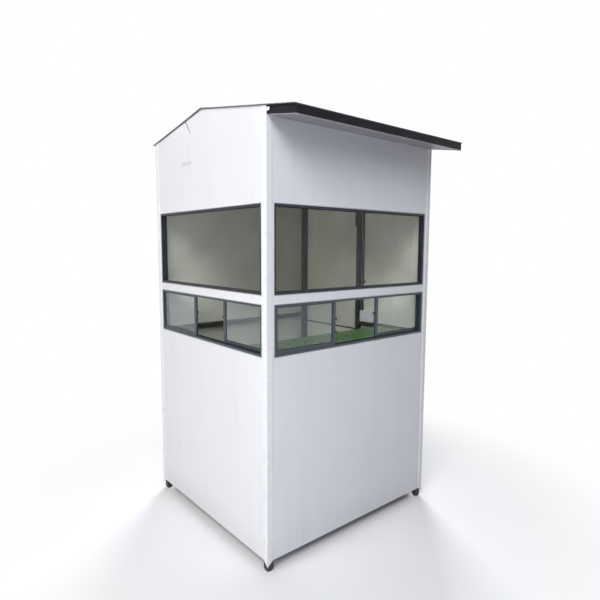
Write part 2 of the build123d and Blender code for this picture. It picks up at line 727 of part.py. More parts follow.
def make_hinges():
    """Three butt hinges, their barrels outside at the back edge of the door."""
    on_post = []
    on_leaf = []
    y = HINGE_AXIS[1]
    third = HINGE_HEIGHT / 3
    for height in HINGE_LEVELS:
        z = level(height)
        bottom = z - HINGE_HEIGHT / 2
        outer = [(bottom, bottom + third), (bottom + 2 * third, bottom + HINGE_HEIGHT)]
        inner = [(bottom + third + KNUCKLE_PLAY, bottom + 2 * third - KNUCKLE_PLAY)]
        fixed = hinge_half(outer, (y + HINGE_SET, y + HINGE_SET + HINGE_LEAF), (y, y + HINGE_SET))
        fixed += Pos(*HINGE_AXIS, z) * Cylinder(PIN_RADIUS, HINGE_HEIGHT)
        moving = hinge_half(inner, (y - HINGE_SET - HINGE_LEAF, y - HINGE_SET), (y - HINGE_SET, y))
        moving -= Pos(*HINGE_AXIS, z) * Cylinder(PIN_RADIUS + PIN_CLEARANCE, HINGE_HEIGHT)
        on_post.append(fixed)
        on_leaf.append(moving)
    piece("post_hinge_leaves", *on_post)
    piece("door_hinge_leaves", *on_leaf)


def main():
    studs = make_frame()
    make_roof_frame()
    make_feet()
    make_skin()
    make_trims()
    make_roof()
    make_windows()
    make_floor(studs)
    make_counter(studs)
    make_wiring()
    make_door_stops()
    make_door_leaf()
    make_door_fittings()
    make_hinges()
    os.makedirs("parts", exist_ok=True)
    for name, solids in PIECES.items():
        shape = solids[0] if len(solids) == 1 else Compound(children=solids)
        export_step(shape, f"parts/{name}.step")


main()
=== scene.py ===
"""Looks of the security guard booth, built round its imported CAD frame. Metres."""
import bmesh
import bpy
import json
import math
import random
from mathutils import Matrix, Vector


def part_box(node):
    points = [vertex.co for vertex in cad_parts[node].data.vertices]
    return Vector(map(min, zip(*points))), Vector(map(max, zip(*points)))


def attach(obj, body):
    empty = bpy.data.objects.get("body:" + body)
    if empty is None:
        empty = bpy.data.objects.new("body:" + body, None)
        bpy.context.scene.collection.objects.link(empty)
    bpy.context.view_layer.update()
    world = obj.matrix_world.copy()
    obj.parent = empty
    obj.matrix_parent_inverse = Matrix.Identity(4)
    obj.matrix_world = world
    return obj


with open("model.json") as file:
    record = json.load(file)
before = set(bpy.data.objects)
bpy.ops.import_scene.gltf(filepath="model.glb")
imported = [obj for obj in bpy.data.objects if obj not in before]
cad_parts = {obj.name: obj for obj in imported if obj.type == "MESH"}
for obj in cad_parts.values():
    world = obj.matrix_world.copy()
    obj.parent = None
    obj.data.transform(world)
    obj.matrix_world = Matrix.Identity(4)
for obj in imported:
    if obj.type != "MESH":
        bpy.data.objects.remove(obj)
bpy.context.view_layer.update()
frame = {"nodes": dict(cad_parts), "record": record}

MM = 0.001
BOOTH = "booth"
DOOR = "door"
X_AXIS, Y_AXIS, Z_AXIS = Vector((1, 0, 0)), Vector((0, 1, 0)), Vector((0, 0, 1))


# ---- places taken from the frame --------------------------------------------------------
def span(*names):
    """Lowest and highest corner of several CAD nodes together."""
    boxes = [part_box(name) for name in names]
    low = Vector([min(box[0][i] for box in boxes) for i in range(3)])
    high = Vector([max(box[1][i] for box in boxes) for i in range(3)])
    return low, high


WALLS = ("left_lower_panel", "front_lower_panel", "back_panel", "right_side_panels")
SKIN_LOW, SKIN_HIGH = span(*WALLS)              # outer faces of the sheets
LAP = Vector((2 * MM, 2 * MM, 0))
TRIM_LOW, TRIM_HIGH = SKIN_LOW - LAP, SKIN_HIGH + LAP   # outer faces of the corner trims
POST_LOW, POST_HIGH = span("corner_posts")      # outer faces of the tubes
X_MIDDLE = (POST_LOW.x + POST_HIGH.x) / 2
DOOR_POST_LOW, DOOR_POST_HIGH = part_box("door_post")
TUBE = DOOR_POST_HIGH.x - DOOR_POST_LOW.x
HALF_TUBE = TUBE / 2
INNER_LOW = POST_LOW + Vector((TUBE, TUBE, 0))
INNER_HIGH = POST_HIGH - Vector((TUBE, TUBE, 0))
BOTTOM = SKIN_LOW.z
FLOOR_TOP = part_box("floor_panel")[1].z
SILL_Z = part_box("front_lower_panel")[1].z
HEAD_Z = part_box("front_upper_panel")[0].z
TRANSOM_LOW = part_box("front_lower_frame")[1].z
TRANSOM_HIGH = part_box("front_upper_frame")[0].z
LEAF_LOW, LEAF_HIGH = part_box("door_skins")
SOFFIT_LOW, SOFFIT_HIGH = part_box("soffit_panel")
ROOF_LOW, ROOF_HIGH = span("roof_sheet_front", "roof_sheet_back")
Y_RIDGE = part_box("roof_sheet_back")[0].y
COUNTER_LOW, COUNTER_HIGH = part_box("counter_top")
BRACKETS_LOW, BRACKETS_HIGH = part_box("counter_brackets")
STUDS_X = (BRACKETS_LOW.x + 18 * MM, BRACKETS_HIGH.x - 18 * MM)     # middles of the front studs
SWITCH_LOW, SWITCH_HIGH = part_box("switch_box")

# heights of the middle of the tubes that the rivets and weld beads are on
BASE_Z = 0.073
MID_RAIL_Z = 1.072
OVER_DOOR_Z = 2.006
EAVE_RAIL_Z = 2.176

# windows and hinges, as the CAD has them
FRONT_BAY = (TRIM_LOW.x + 0.453, TRIM_LOW.x + 0.788)    # open bay between the front sashes
LEFT_BAY = (TRIM_HIGH.y - 0.473, TRIM_HIGH.y - 0.742)   # and between the gable sashes
FRAME_FACE = 14 * MM
STILE, SASH_FOOT, SASH_HEAD = 20 * MM, 26 * MM, 11 * MM
TRACK_STEP = 18.5 * MM          # from the outer sash to the inner one
HINGE_LEVELS = (0.357, 1.012, 1.667)
RISE = 100 / 586                # of the roof, for each metre away from the ridge


def roof_height(y):
    return ROOF_HIGH.z - abs(y - Y_RIDGE) * RISE


def roof_normal(y):
    side = 1 if y > Y_RIDGE else -1
    return Vector((0, side * RISE, 1)).normalized()


# ---- camera -----------------------------------------------------------------------------
def make_camera():
    """Stands at eye height off the front left corner, tipped down a little."""
    data = bpy.data.cameras.new("camera")
    data.lens = 29.8
    data.sensor_width = 36
    data.clip_start = 0.05
    camera = bpy.data.objects.new("camera", data)
    corner = Vector((TRIM_LOW.x, TRIM_LOW.y, BOTTOM))
    camera.location = corner + Vector((-1.3528, -1.8534, 1.5481))
    yaw = math.radians(39.98)
    pitch = math.radians(6.118)
    roll = math.radians(0.2325)
    level = Vector((math.sin(yaw), math.cos(yaw), 0))
    forward = math.cos(pitch) * level - math.sin(pitch) * Z_AXIS
    right = Vector((math.cos(yaw), -math.sin(yaw), 0))
    up = right.cross(forward)
    rolled_right = math.cos(roll) * right + math.sin(roll) * up
    rolled_up = math.cos(roll) * up - math.sin(roll) * right
    turn = Matrix((rolled_right, rolled_up, -forward)).transposed()
    camera.rotation_euler = turn.to_euler()
    bpy.context.scene.collection.objects.link(camera)
    bpy.context.scene.camera = camera


# ---- shader nodes -----------------------------------------------------------------------
class Nodes:
    """The shader nodes of the world or of a material."""

    def __init__(self, owner):
        owner.use_nodes = True
        self.tree = owner.node_tree

    def put(self, socket, value):
        """A plain value, or another node's output, goes into a socket."""
        if isinstance(value, bpy.types.NodeSocket):
            self.tree.links.new(value, socket)
        elif socket.type == "RGBA":
            socket.default_value = (*value, 1)
        else:
            socket.default_value = value

    def node(self, kind, *values, **settings):
        made = self.tree.nodes.new("ShaderNode" + kind)
        for key, value in settings.items():
            setattr(made, key, value)
        for socket, value in zip(made.inputs, values):
            if value is not None:
                self.put(socket, value)
        return made

    def math(self, operation, first, second=0.0):
        return self.node("Math", first, second, operation=operation).outputs[0]

    def step(self, value, low, high, start=0.0, end=1.0):
        """A smooth step from start to end, as value goes from low to high."""
        step = self.node("MapRange", value, low, high, start, end)
        step.interpolation_type = "SMOOTHSTEP"
        return step.outputs[0]


class Surface(Nodes):
    """A Principled material, with short names for the nodes that feed it."""

    def __init__(self, name, **sockets):
        self.material = bpy.data.materials.new(name)
        super().__init__(self.material)
        self.shader = self.tree.nodes["Principled BSDF"]
        self.here = self.node("TexCoord").outputs["Object"]
        for socket, value in sockets.items():
            self.feed(socket.replace("_", " "), value)

    def feed(self, socket, value):
        self.put(self.shader.inputs[socket], value)

    def cover(self, colour, roughness, relief=None):
        """Feeds the shader what varies over the surface, and returns the surface."""
        self.feed("Base Color", colour)
        self.feed("Roughness", roughness)
        if relief is not None:
            self.feed("Normal", relief)
        return self

    def texture(self, kind, scale, stretch=(1, 1, 1)):
        """A texture in object coordinates, denser along the axes that are stretched."""
        mapping = self.node("Mapping", self.here)
        mapping.inputs["Scale"].default_value = stretch
        made = self.node(kind, mapping.outputs[0])
        made.inputs["Scale"].default_value = scale
        return made

    def noise(self, scale, detail=3.0, rough=0.55, stretch=(1, 1, 1)):
        made = self.texture("TexNoise", scale, stretch)
        made.inputs["Detail"].default_value = detail
        made.inputs["Roughness"].default_value = rough
        return made.outputs["Fac"]

    def patches(self, low, high, *noise):
        """1 where a noise is above high and 0 below low; the rest is as noise() takes it."""
        return self.step(self.noise(*noise), low, high)

    def cells(self, scale):
        return self.texture("TexVoronoi", scale).outputs["Distance"]

    def axis(self, letter):
        split = self.node("SeparateXYZ", self.here)
        return split.outputs["XYZ".index(letter)]

    def off_middle(self, letter, low, high):
        """Distance from halfway between low and high, along one axis."""
        offset = self.math("SUBTRACT", self.axis(letter), (low + high) / 2)
        return self.math("ABSOLUTE", offset)

    def times(self, *values):
        result = values[0]
        for value in values[1:]:
            result = self.math("MULTIPLY", result, value)
        return result

    def mix(self, share, first, second):
        """The first colour where share is 0, and the second where it is 1."""
        made = self.node("Mix", data_type="RGBA")
        factor, _, _, _, _, _, one, two = made.inputs[:8]
        self.put(factor, share)
        self.put(one, first)
        self.put(two, second)
        return made.outputs[2]

    def over(self, tone, colour, *shares):
        """A colour laid over a tone, as thick as the product of the shares."""
        return self.mix(self.times(*shares), tone, colour)

    def bump(self, height, depth, after=None):
        """Relief from height, on top of the relief that after holds, if any."""
        made = self.node("Bump")
        made.inputs["Distance"].default_value = depth
        self.put(made.inputs["Height"], height)
        if after is not None:
            self.put(made.inputs["Normal"], after)
        return made.outputs[0]

    def distance(self, first, second):
        measured = self.node("VectorMath", first, second, operation="DISTANCE")
        return measured.outputs["Value"]

    def near_line(self, start, end):
        """Distance from the straight stretch between two points."""
        along = end - start
        offset = self.node("VectorMath", self.here, start, operation="SUBTRACT").outputs[0]
        share = along / along.length_squared
        dot = self.node("VectorMath", offset, share, operation="DOT_PRODUCT")
        clamped = self.node("Clamp", dot.outputs["Value"]).outputs[0]
        reached = self.node("VectorMath", along, operation="SCALE")
        self.put(reached.inputs["Scale"], clamped)
        return self.distance(offset, reached.outputs[0])


# ---- materials --------------------------------------------------------------------------
WHITE = (0.862, 0.868, 0.905)           # paint of the sheets
TRIM_WHITE = (0.9, 0.905, 0.925)        # and of the corner trims
SOFFIT_SHADE_GREY = (0.33, 0.322, 0.355)        # grey of the sheet under the eave, darkened as painted shade for the eave's shadow
RAIN_GREY = (0.62, 0.61, 0.58)
DRY_MUD = (0.50, 0.475, 0.43)


def outside_mask(surface):
    """1 on the outer half of the wall sheets and 0 on their inner half, by place alone."""
    half_sheet = 2 * MM
    reach = []
    for letter, low, high in (("X", SKIN_LOW.x, SKIN_HIGH.x), ("Y", SKIN_LOW.y, SKIN_HIGH.y)):
        offset = surface.off_middle(letter, low, high)
        reach.append(surface.math("GREATER_THAN", offset, (high - low) / 2 - half_sheet))
    return surface.math("MAXIMUM", *reach)


def dirt_near_ground(surface):
    """Splashed dirt that thins out above the bottom edge of the walls."""
    ragged = surface.math("MULTIPLY", surface.noise(9, 5, 0.7, (1, 1, 0.5)), 0.16)
    level = surface.math("SUBTRACT", surface.axis("Z"), ragged)
    return surface.step(level, BOTTOM - 0.08, BOTTOM + 0.10, 1.0, 0.0)


def gable_marks(surface):
    """The crack that runs down from the roof edge, and the smudge below it."""
    x = SKIN_LOW.x
    height = surface.axis("Z")
    on_gable = surface.math("LESS_THAN", surface.axis("X"), x + 1 * MM)

    top, foot = Vector((x, 0.288, 2.309)), Vector((x, 0.200, 2.204))
    wander = surface.math("MULTIPLY", surface.noise(60, 4, 0.7), 5 * MM)
    wander = surface.math("SUBTRACT", wander, 2.5 * MM)
    crack = surface.math("SUBTRACT", surface.near_line(top, foot), wander)
    width = surface.step(height, foot.z + 1 * MM, top.z - 4 * MM, 1.2 * MM, 3.8 * MM)
    crack = surface.step(surface.math("DIVIDE", crack, width), 0.5, 1.5, 1.0, 0.0)
    fade = surface.step(height, foot.z, foot.z + 38 * MM)
    crack = surface.times(crack, fade, on_gable)

    smudge = surface.near_line(Vector((x, 0.328, 2.071)), Vector((x, 0.222, 2.068)))
    ragged = surface.math("MULTIPLY", surface.noise(45, 4, 0.7), 12 * MM)
    smudge = surface.math("ADD", smudge, ragged)
    smudge = surface.step(smudge, 7 * MM, 22 * MM, 1.0, 0.0)
    return crack, surface.times(smudge, 0.5, on_gable)


def white_finish(surface, colour, dirty=1.0):
    """Paint with faint clouds, rain streaks, specks and splashed dirt. Returns its colour."""
    clouds = surface.patches(0.35, 0.7, 1.6, 3, 0.6)
    tone = surface.over(colour, tuple(c * 0.955 for c in colour), clouds, 0.5)
    streaks = surface.patches(0.52, 0.78, 26, 4, 0.6, (1, 1, 0.035))
    tone = surface.over(tone, RAIN_GREY, streaks, 0.16 * dirty)
    specks = surface.step(surface.cells(55), 0.03, 0.055, 1.0, 0.0)
    sparse = surface.patches(0.55, 0.62, 7, 2)
    tone = surface.over(tone, (0.40, 0.36, 0.31), specks, sparse, 0.30 * dirty)
    return surface.over(tone, DRY_MUD, dirt_near_ground(surface), 0.15 * dirty)


def paint_relief(surface):
    """Fine orange peel over the slow waves of a thin sheet."""
    waves = surface.bump(surface.noise(3.2, 2), 1.2 * MM)
    return surface.bump(surface.noise(700, 2), 0.06 * MM, waves)


def bare_back(surface):
    """Beige primer on the backs of the sheets, mottled, with stains that ran down."""
    mottle = surface.patches(0.3, 0.72, 5, 5, 0.65)
    tone = surface.mix(mottle, (0.80, 0.805, 0.69), (0.70, 0.705, 0.60))
    runs = surface.patches(0.55, 0.8, 18, 5, 0.65, (1, 1, 0.06))
    tone = surface.over(tone, (0.50, 0.475, 0.375), runs, 0.35)
    flecks = surface.times(surface.patches(0.6, 0.75, 90, 3), 0.25)
    return surface.mix(flecks, tone, (0.86, 0.85, 0.76))


def wall_sheet():
    """White outside with the marks of use, beige primer inside."""
    surface = Surface("wall_sheet")
    outside = outside_mask(surface)
    crack, smudge = gable_marks(surface)
    white = surface.mix(smudge, white_finish(surface, WHITE), (0.50, 0.51, 0.53))
    white = surface.mix(crack, white, (0.10, 0.10, 0.11))
    paint = surface.step(surface.noise(6, 4), 0.3, 0.7, 0.34, 0.46)
    primer = surface.step(outside, 0, 1, 0.62, 0.0)
    return surface.cover(
        surface.mix(outside, bare_back(surface), white),
        surface.math("MAXIMUM", paint, primer),
        surface.bump(crack, -0.8 * MM, paint_relief(surface)),
    )


def soffit_painted_shade():
    """The same kind of sheet, a little dusty, in a grey darkened as painted shade for the deep
    shade under the eave.
    """
    surface = Surface("soffit_painted_shade")
    return surface.cover(
        # painted shade: the soffit's grey is darker than the sheets' white to stand in for the
        # shade under the eave
        white_finish(surface, SOFFIT_SHADE_GREY, 0.6),
        surface.step(surface.noise(6, 4), 0.3, 0.7, 0.38, 0.5),
        paint_relief(surface),
    )


def door_skin():
    """White on the street side of the leaf, beige primer on the room side."""
    surface = Surface("door_skin")
    middle = (LEAF_LOW.x + LEAF_HIGH.x) / 2
    outside = surface.math("GREATER_THAN", surface.axis("X"), middle)
    white = white_finish(surface, WHITE, 1.2)
    grip = Vector((LEAF_HIGH.x, LEAF_LOW.y + 0.06, 0.915))      # middle of the handle
    from_grip = surface.distance(surface.here, grip)
    ragged = surface.times(surface.noise(14, 5, 0.7), 0.12)
    grime = surface.math("ADD", from_grip, ragged)
    grime = surface.times(surface.step(grime, 0.10, 0.24, 1.0, 0.0), 0.30)
    tone = surface.mix(outside, bare_back(surface), white)
    return surface.cover(
        surface.mix(grime, tone, (0.40, 0.37, 0.33)),
        surface.step(surface.noise(6, 4), 0.3, 0.7, 0.36, 0.5),
        paint_relief(surface),
    )


def trim_white():
    """Bright glossy folded sheet with a few chips down to bare metal."""
    surface = Surface("trim_white")
    chips = surface.times(
        surface.patches(0.66, 0.7, 130, 4, 0.7),
        surface.patches(0.5, 0.62, 4, 2),
    )
    white = white_finish(surface, TRIM_WHITE, 0.8)
    return surface.cover(
        surface.mix(chips, white, (0.30, 0.31, 0.33)),
        surface.step(surface.noise(9, 4), 0.3, 0.7, 0.24, 0.36),
        surface.bump(chips, -0.15 * MM, paint_relief(surface)),
    )


def brushed_paint(name, colour, worn, rust=0.5):
    """Dark paint put on by brush, thin in places, with rust freckles."""
    surface = Surface(name, Specular_IOR_Level=0.3)
    thin = surface.patches(0.45, 0.75, 11, 5, 0.6)
    tone = surface.over(colour, worn, thin, 0.6)
    freckles = surface.patches(0.64, 0.72, 75, 5, 0.75)
    where = surface.patches(0.52, 0.7, 5, 3, 0.6)
    freckles = surface.times(freckles, where, rust)
    gloss = surface.step(surface.noise(8, 4), 0.3, 0.7, 0.36, 0.58)
    hairs = surface.bump(surface.noise(340, 3, 0.6, (1, 1, 0.12)), 0.12 * MM)
    return surface.cover(
        surface.mix(freckles, tone, (0.17, 0.065, 0.025)),
        surface.math("MAXIMUM", gloss, surface.times(freckles, 0.85)),
        surface.bump(freckles, 0.25 * MM, hairs),
    )


def fascia_black():
    """Near-black matt paint of the eave beam and of the tails that carry it."""
    surface = brushed_paint("fascia_black", (0.010, 0.011, 0.014), (0.019, 0.020, 0.024), 0.15)
    surface.feed("Specular IOR Level", 0.12)
    return surface


def roof_sheet():
    """Dark coated sheet under a film of dust that the rain has drawn out down the slope.

    Its cut edges at the verges show bare grey metal.
    """
    coat = (0.075, 0.082, 0.092)
    surface = Surface("roof_sheet")
    dust = surface.patches(0.35, 0.75, 4, 5, 0.65)
    runs = surface.patches(0.45, 0.75, 30, 4, 0.6, (1, 0.05, 1))
    tone = surface.over(coat, (0.21, 0.205, 0.195), dust, 0.55)
    tone = surface.over(tone, (0.27, 0.262, 0.245), runs, 0.35)
    spots = surface.step(surface.cells(38), 0.05, 0.09, 1.0, 0.0)
    spots = surface.times(spots, surface.patches(0.5, 0.6, 6, 2), 0.5)
    tone = surface.mix(spots, tone, (0.03, 0.03, 0.03))
    offset = surface.off_middle("X", ROOF_LOW.x, ROOF_HIGH.x)
    cut = surface.math("GREATER_THAN", offset, (ROOF_HIGH.x - ROOF_LOW.x) / 2 - 1 * MM)
    return surface.cover(
        surface.mix(cut, tone, (0.17, 0.172, 0.175)),
        surface.step(dust, 0, 1, 0.4, 0.75),
        surface.bump(surface.noise(3, 2), 1.5 * MM),
    )


def anodised(name, colour, streak, roughness):
    """Drawn aluminium section, dark anodised, with a fine grain and dull finger marks."""
    surface = Surface(name, Metallic=0.75)
    lines = surface.noise(260, 3, 0.6)
    grain = surface.step(lines, 0.3, 0.7)
    tone = surface.over(colour, streak, grain, 0.5)
    dull = surface.patches(0.5, 0.72, 13, 4, 0.6)
    return surface.cover(
        surface.over(tone, (0.10, 0.105, 0.115), dull, 0.35),
        surface.step(dull, 0, 1, roughness, roughness + 0.18),
        surface.bump(lines, 0.03 * MM),
    )


def window_glass(name, tint_and_shade, index, dust, share):
    """Float glass under a film: dust in wiped patches, specks and run marks, and an even share
    that on the lower panes is a bluish painted sheen of reflected sky.

    Lamps and bounced light go straight through it, so that the cabin is lit as by day.
    Only what is seen through it takes the tint, and the dark tint of the upper panes
    is painted shade over the upper part of the cabin.
    """
    surface = Surface(name, Base_Color=tint_and_shade, Roughness=0.0, IOR=index, Transmission_Weight=1.0)
    clear = surface.node("BsdfTransparent", (0.96, 0.975, 0.965)).outputs[0]
    path = surface.node("LightPath").outputs
    passing = surface.math("MAXIMUM", path["Is Shadow Ray"], path["Is Diffuse Ray"])
    glass = surface.node("MixShader", passing, surface.shader.outputs[0], clear).outputs[0]
    dust_and_sheen_film = surface.node("BsdfPrincipled", dust)
    surface.put(dust_and_sheen_film.inputs["Roughness"], 0.9)
    wiped = surface.step(surface.noise(3.2, 4, 0.6, (1, 1, 2.2)), 0.35, 0.75, 0.0, 0.015)
    specks = surface.times(surface.step(surface.cells(120), 0.08, 0.16, 1.0, 0.0), 0.03)
    streaks = surface.patches(0.6, 0.8, 55, 3, 0.6, (1, 1, 0.03))
    # share adds an even film over the pane: on the lower panes a painted sheen of reflected sky
    streaks = surface.math("ADD", surface.times(streaks, 0.018), share)
    haze = surface.math("ADD", surface.math("ADD", wiped, specks), streaks)
    hazed = surface.node("MixShader", haze, glass, dust_and_sheen_film.outputs[0]).outputs[0]
    surface.put(surface.tree.nodes["Material Output"].inputs["Surface"], hazed)
    surface.feed("Normal", surface.bump(surface.noise(2.2, 1), 0.5 * MM))
    return surface


def floor_board():
    """Sealed board with its grain along X, scuffed grey, with specks of grit."""
    surface = Surface("floor_board")
    grain = surface.patches(0.3, 0.72, 22, 6, 0.7, (0.12, 1, 1))
    tone = surface.mix(grain, (0.33, 0.25, 0.165), (0.21, 0.15, 0.095))
    scuffs = surface.patches(0.52, 0.72, 16, 5, 0.75, (1, 0.4, 1))
    tone = surface.over(tone, (0.42, 0.38, 0.33), scuffs, 0.45)
    grit = surface.step(surface.cells(150), 0.08, 0.13, 1.0, 0.0)
    return surface.cover(
        surface.over(tone, (0.12, 0.10, 0.08), grit, 0.5),
        surface.step(scuffs, 0, 1, 0.42, 0.7),
        surface.bump(grain, 0.2 * MM),
    )


def counter_laminate():
    """Green laminate with a fine mottle, paler worn patches and scratches across it."""
    surface = Surface("counter_laminate")
    mottle = surface.patches(0.35, 0.7, 180, 3, 0.6)
    tone = surface.mix(mottle, (0.085, 0.245, 0.05), (0.055, 0.19, 0.04))
    worn = surface.patches(0.35, 0.7, 6, 3)
    tone = surface.over(tone, (0.11, 0.25, 0.075), worn, 0.4)
    scratches = surface.patches(0.70, 0.74, 14, 2, 0.5, (14, 0.5, 1))
    return surface.cover(
        surface.over(tone, (0.22, 0.36, 0.17), scratches, 0.4),
        surface.step(worn, 0, 1, 0.26, 0.42),
        surface.bump(scratches, -0.05 * MM, surface.bump(mottle, 0.02 * MM)),
    )


def plastic(name, colour, grubby, roughness):
    """Moulded plastic with a faint spark-eroded grain and handling marks."""
    surface = Surface(name)
    marks = surface.patches(0.5, 0.75, 24, 5, 0.7)
    return surface.cover(
        surface.over(colour, grubby, marks, 0.5),
        surface.step(marks, 0, 1, roughness, roughness + 0.2),
        surface.bump(surface.noise(1400, 2), 0.03 * MM),
    )


def black_enamel():
    """Stove enamel on small ironmongery, worn brown in spots."""
    enamel = (0.016, 0.016, 0.018)
    surface = Surface("black_enamel")
    worn = surface.patches(0.6, 0.74, 60, 5, 0.7)
    return surface.cover(
        surface.over(enamel, (0.09, 0.065, 0.05), worn, 0.6),
        surface.step(worn, 0, 1, 0.3, 0.6),
        surface.bump(worn, -0.06 * MM),
    )


def satin_steel():
    """Satin stainless steel, with marks turned round the bar and greasy prints on it."""
    steel = (0.60, 0.61, 0.62)
    surface = Surface("satin_steel", Metallic=1.0)
    prints = surface.patches(0.5, 0.72, 45, 4, 0.65)
    return surface.cover(
        surface.over(steel, (0.47, 0.47, 0.47), prints, 0.4),
        surface.step(prints, 0, 1, 0.2, 0.42),
        surface.bump(surface.noise(420, 2, 0.5, (0.3, 0.3, 4)), 0.02 * MM),
    )


def zinc():
    """Zinc-plated fasteners gone dull, with white bloom and a little rust."""
    surface = Surface("zinc", Metallic=0.9)
    bloom = surface.patches(0.45, 0.7, 170, 4, 0.7)
    tone = surface.over((0.50, 0.51, 0.53), (0.66, 0.66, 0.65), bloom, 0.6)
    rust = surface.times(surface.patches(0.62, 0.72, 33, 4, 0.7), 0.6)
    return surface.cover(
        surface.mix(rust, tone, (0.26, 0.12, 0.06)),
        surface.step(bloom, 0, 1, 0.36, 0.6),
    )


def soft_filler(name, colour, dirty, roughness):
    """Rubber gasket or silicone bead: slightly uneven, with dirt that has stuck to it."""
    surface = Surface(name)
    stuck = surface.patches(0.45, 0.72, 38, 5, 0.7)
    return surface.cover(
        surface.over(colour, dirty, stuck, 0.65),
        surface.step(stuck, 0, 1, roughness, roughness + 0.2),
        surface.bump(surface.noise(220, 3), 0.12 * MM),
    )


LOOKS = {
    "wall_sheet": wall_sheet(),
    "soffit": soffit_painted_shade(),
    "door_skin": door_skin(),
    "trim_white": trim_white(),
    "frame_paint": brushed_paint("frame_paint", (0.042, 0.047, 0.050), (0.078, 0.082, 0.088)),
    "fascia": fascia_black(),
    "roof_sheet": roof_sheet(),
    # painted shade and light: one anodised window metal in two brightnesses, darker on the upper
    # frames for the eave's shade, lighter on the lower frames
    "window_metal_shaded": anodised("window_metal_shaded", (0.034, 0.040, 0.050), (0.052, 0.060, 0.075), 0.36),
    "window_metal_lit": anodised("window_metal_lit", (0.070, 0.086, 0.106), (0.100, 0.120, 0.146), 0.34),
    # painted shade: the upper panes' darker tint stands in for the dim upper part of the cabin
    # seen through them
    "glass": window_glass("upper_glass", (0.79, 0.79, 0.785), 1.22, (0.60, 0.62, 0.62), 0.0),
    # painted sheen: the even bluish film on the lower panes stands in for reflected sky, over
    # their real dust
    "sash_glass": window_glass("sash_glass", (0.90, 0.93, 0.935), 1.36, (0.50, 0.60, 0.72), 0.035),
    "floor_board": floor_board(),
    "counter_green": counter_laminate(),
    "switch_white": plastic("switch_white", (0.80, 0.80, 0.83), (0.60, 0.585, 0.56), 0.3),
    "black_metal": black_enamel(),
    "handle_steel": satin_steel(),
    "foot_rubber": soft_filler("foot_rubber", (0.022, 0.022, 0.024), (0.13, 0.115, 0.095), 0.6),
    "zinc": zinc(),
    "black_rubber": soft_filler("black_rubber", (0.018, 0.018, 0.02), (0.07, 0.065, 0.055), 0.5),
    "sealant": soft_filler("sealant", (0.62, 0.63, 0.635), (0.36, 0.34, 0.30), 0.4),
    "counter_edge": plastic("counter_edge", (0.035, 0.085, 0.03), (0.08, 0.10, 0.06), 0.4),
}
# nodes whose look isn't that of their slot, and the slot whose look has another name
OTHER_LOOKS = {
    "sash_glass": "sash_glass",
    "soffit_panel": "soffit",
    "door_skins": "door_skin",
    "eave_beam": "fascia",
    "front_rafters": "fascia",
    # the upper frames take the darker copy of the window metal, as painted shade
    "front_upper_frame": "window_metal_shaded",
    "left_upper_frame": "window_metal_shaded",
}
SLOT_LOOKS = {"window_metal": "window_metal_lit"}
# widths of the eased edges by slot, and by node, in millimetres
EDGES = {
    "wall_sheet": 0.5, "trim_white": 0.5, "roof_sheet": 0.6, "window_metal": 0.35,
    "counter_green": 1.5, "floor_board": 1.0,
}
BLUNT_NODES = {"eave_beam": 1.2, "door_core": 0.8, "counter_brackets": 0.6, "door_stops": 0.6}


def round_edges(thing, width, angle=35):
    """Takes the sharpness off the edges that turn by more than the angle, in degrees."""
    bevel = thing.modifiers.new("rounding", "BEVEL")
    bevel.width = width
    bevel.segments = 2
    bevel.limit_method = "ANGLE"
    bevel.angle_limit = math.radians(angle)
    bevel.harden_normals = True


def dress_nodes():
    """Gives every CAD node its finish, by its slot in the record, and eases its edges."""
    slots = {part["node"]: part["material_slot"] for part in frame["record"]["subparts"]}
    for name, thing in frame["nodes"].items():
        slot = slots[name]
        look = LOOKS[OTHER_LOOKS.get(name, SLOT_LOOKS.get(slot, slot))]
        for place in thing.material_slots:
            place.material = look.material
        width = BLUNT_NODES.get(name, EDGES.get(slot, 0))
        if width:
            weld = thing.modifiers.new("weld", "WELD")
            weld.merge_threshold = 0.01 * MM
            round_edges(thing, width * MM)


